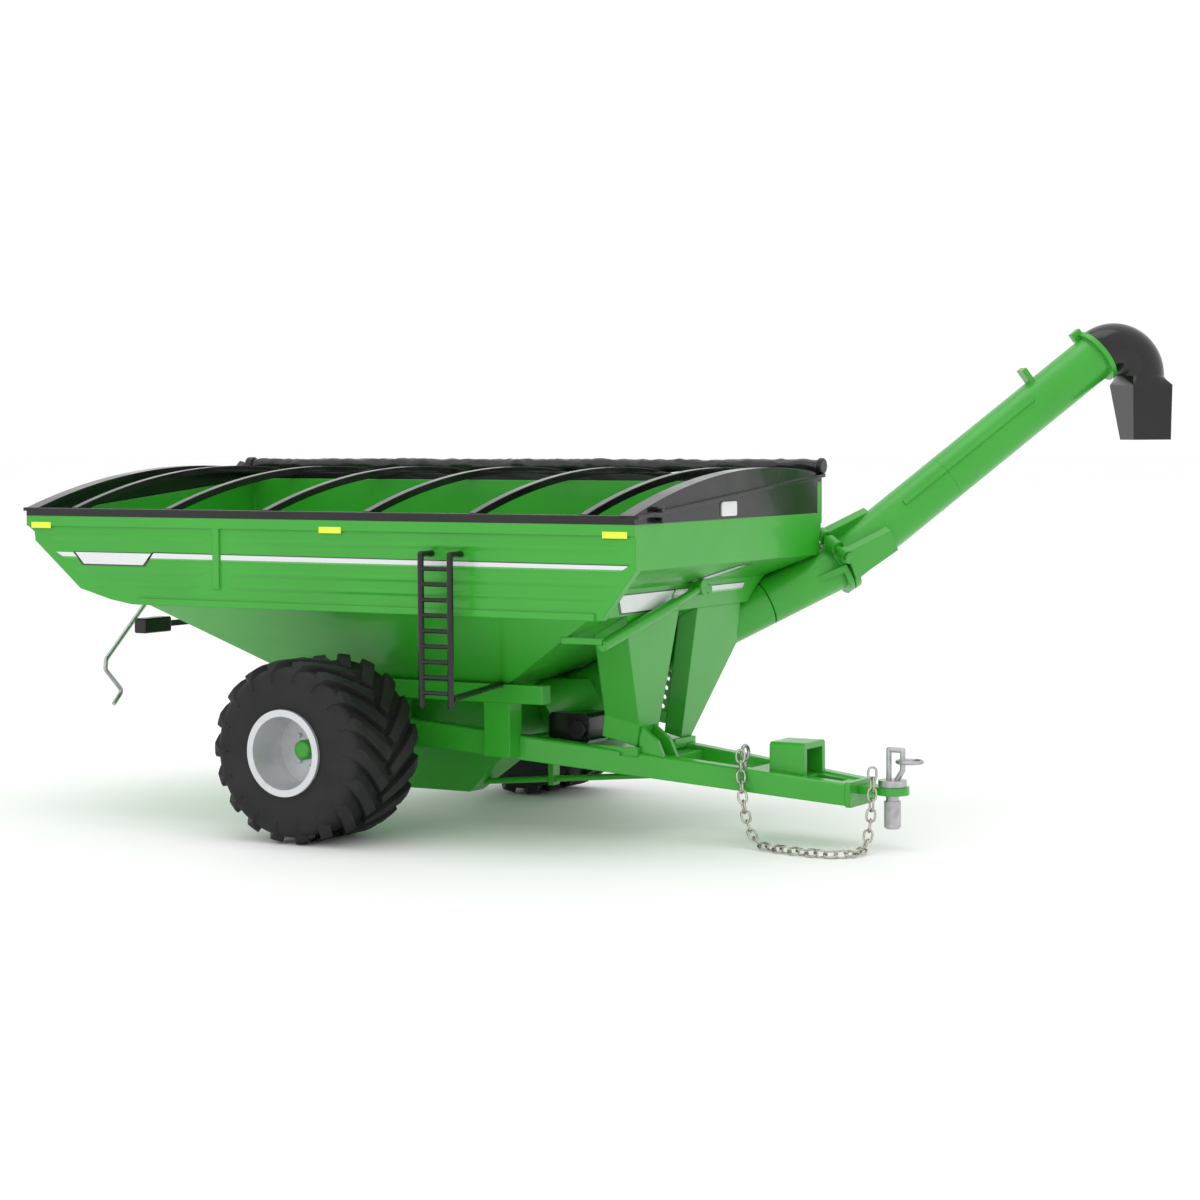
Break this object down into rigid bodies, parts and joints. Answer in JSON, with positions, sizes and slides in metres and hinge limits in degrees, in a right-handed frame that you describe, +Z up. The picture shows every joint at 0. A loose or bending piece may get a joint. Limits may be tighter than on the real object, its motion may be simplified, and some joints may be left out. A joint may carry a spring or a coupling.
{
  "type": "grain cart",
  "caption": "Two-wheeled grain cart model: open tank with hopper bottom, roof bows, folding corner auger with turning spout, A-frame drawbar, hitch pin and safety chain.",
  "frame": {"origin": "on the ground, midway between the two tyres, under the axle", "axes": "+X forward to the hitch, +Y to the left (the unloading auger's side), +Z up"},
  "size_m": [0.169, 0.1228, 0.0824],
  "materials": {
    "green_paint": "gloss",
    "black_plastic": "gloss",
    "tarp": "satin",
    "tyre_rubber": "matte",
    "silver_rim": "satin",
    "steel": "satin",
    "window": "satin"
  },
  "bodies": {
    "cart": {"auger_boot": "green_paint", "auger_gearbox": "black_plastic", "axle": "steel", "axle_beam": "green_paint", "chain_eye_bolt": "steel", "cradle_posts": "green_paint", "crank_socket": "black_plastic", "drive_hanger": "green_paint", "drive_tube": "green_paint", "end_plate": "green_paint", "front_cross_member": "green_paint", "front_end_cap": "black_plastic", "hinge_pin": "green_paint", "hitch_eye": "green_paint", "hose_saddle": "green_paint", "ladder": "black_plastic", "ladder_arm": "black_plastic", "left_cradle_rail": "green_paint", "left_drawbar_beam": "green_paint", "left_pillar": "green_paint", "left_top_rail": "black_plastic", "lock_strip": "green_paint", "lower_auger_tube": "green_paint", "lower_hinge_casting": "green_paint", "middle_cross_member": "green_paint", "pillar_feet": "green_paint", "pillar_gussets": "green_paint", "ram_barrel": "green_paint", "ram_lugs": "green_paint", "ram_rod": "green_paint", "rear_end_cap": "black_plastic", "right_cradle_rail": "green_paint", "right_drawbar_beam": "green_paint", "right_pillar": "green_paint", "right_top_rail": "black_plastic", "roof_bows": "black_plastic", "safety_chain": "steel", "sight_window": "window", "sump": "green_paint", "sump_trough": "green_paint", "tail_light": "black_plastic", "tail_light_bracket": "black_plastic", "tank_shell": "green_paint", "tarp_roll": "tarp", "tarp_roll_ends": "black_plastic", "tongue_block": "green_paint"},
    "right_wheel": {"right_rim": "silver_rim", "right_tyre": "tyre_rubber", "right_hub_cap": "green_paint", "right_wheel_nuts": "silver_rim"},
    "left_wheel": {"left_rim": "silver_rim", "left_tyre": "tyre_rubber", "left_hub_cap": "green_paint", "left_wheel_nuts": "silver_rim"},
    "upper_auger": {"upper_hinge_casting": "green_paint", "upper_auger_tube": "green_paint"},
    "spout": {"spout": "black_plastic"},
    "drawpin": {"drawpin": "steel", "pin_ring": "steel"},
    "tarp_crank": {"tarp_crank": "steel"}
  },
  "joints": [
    {"name": "right_wheel_spin", "type": "hinge", "parent": "cart", "child": "right_wheel", "pos_m": [0, -0.034, 0.0145], "axis": [0, 1, 0], "continuous": true},
    {"name": "left_wheel_spin", "type": "hinge", "parent": "cart", "child": "left_wheel", "pos_m": [0, 0.034, 0.0145], "axis": [0, 1, 0], "continuous": true},
    {"name": "auger_fold", "type": "hinge", "parent": "cart", "child": "upper_auger", "pos_m": [0.05859, 0.03134, 0.0456], "axis": [0.7937, -0.4311, -0.4293], "range_deg": [0, 60]},
    {"name": "spout_turn", "type": "hinge", "parent": "upper_auger", "child": "spout", "pos_m": [0.09165, 0.06815, 0.07712], "axis": [0.5647, 0.5647, 0.6018], "range_deg": [-60, 60]},
    {"name": "drawpin_lift", "type": "slide", "parent": "cart", "child": "drawpin", "axis": [0, 0, 1], "range_m": [0, 0.0075]},
    {"name": "tarp_crank_turn", "type": "hinge", "parent": "cart", "child": "tarp_crank", "pos_m": [-0.0648, 0.0307, 0.05762], "axis": [-0.0039, -0.7602, -0.6497], "continuous": true}
  ]
}
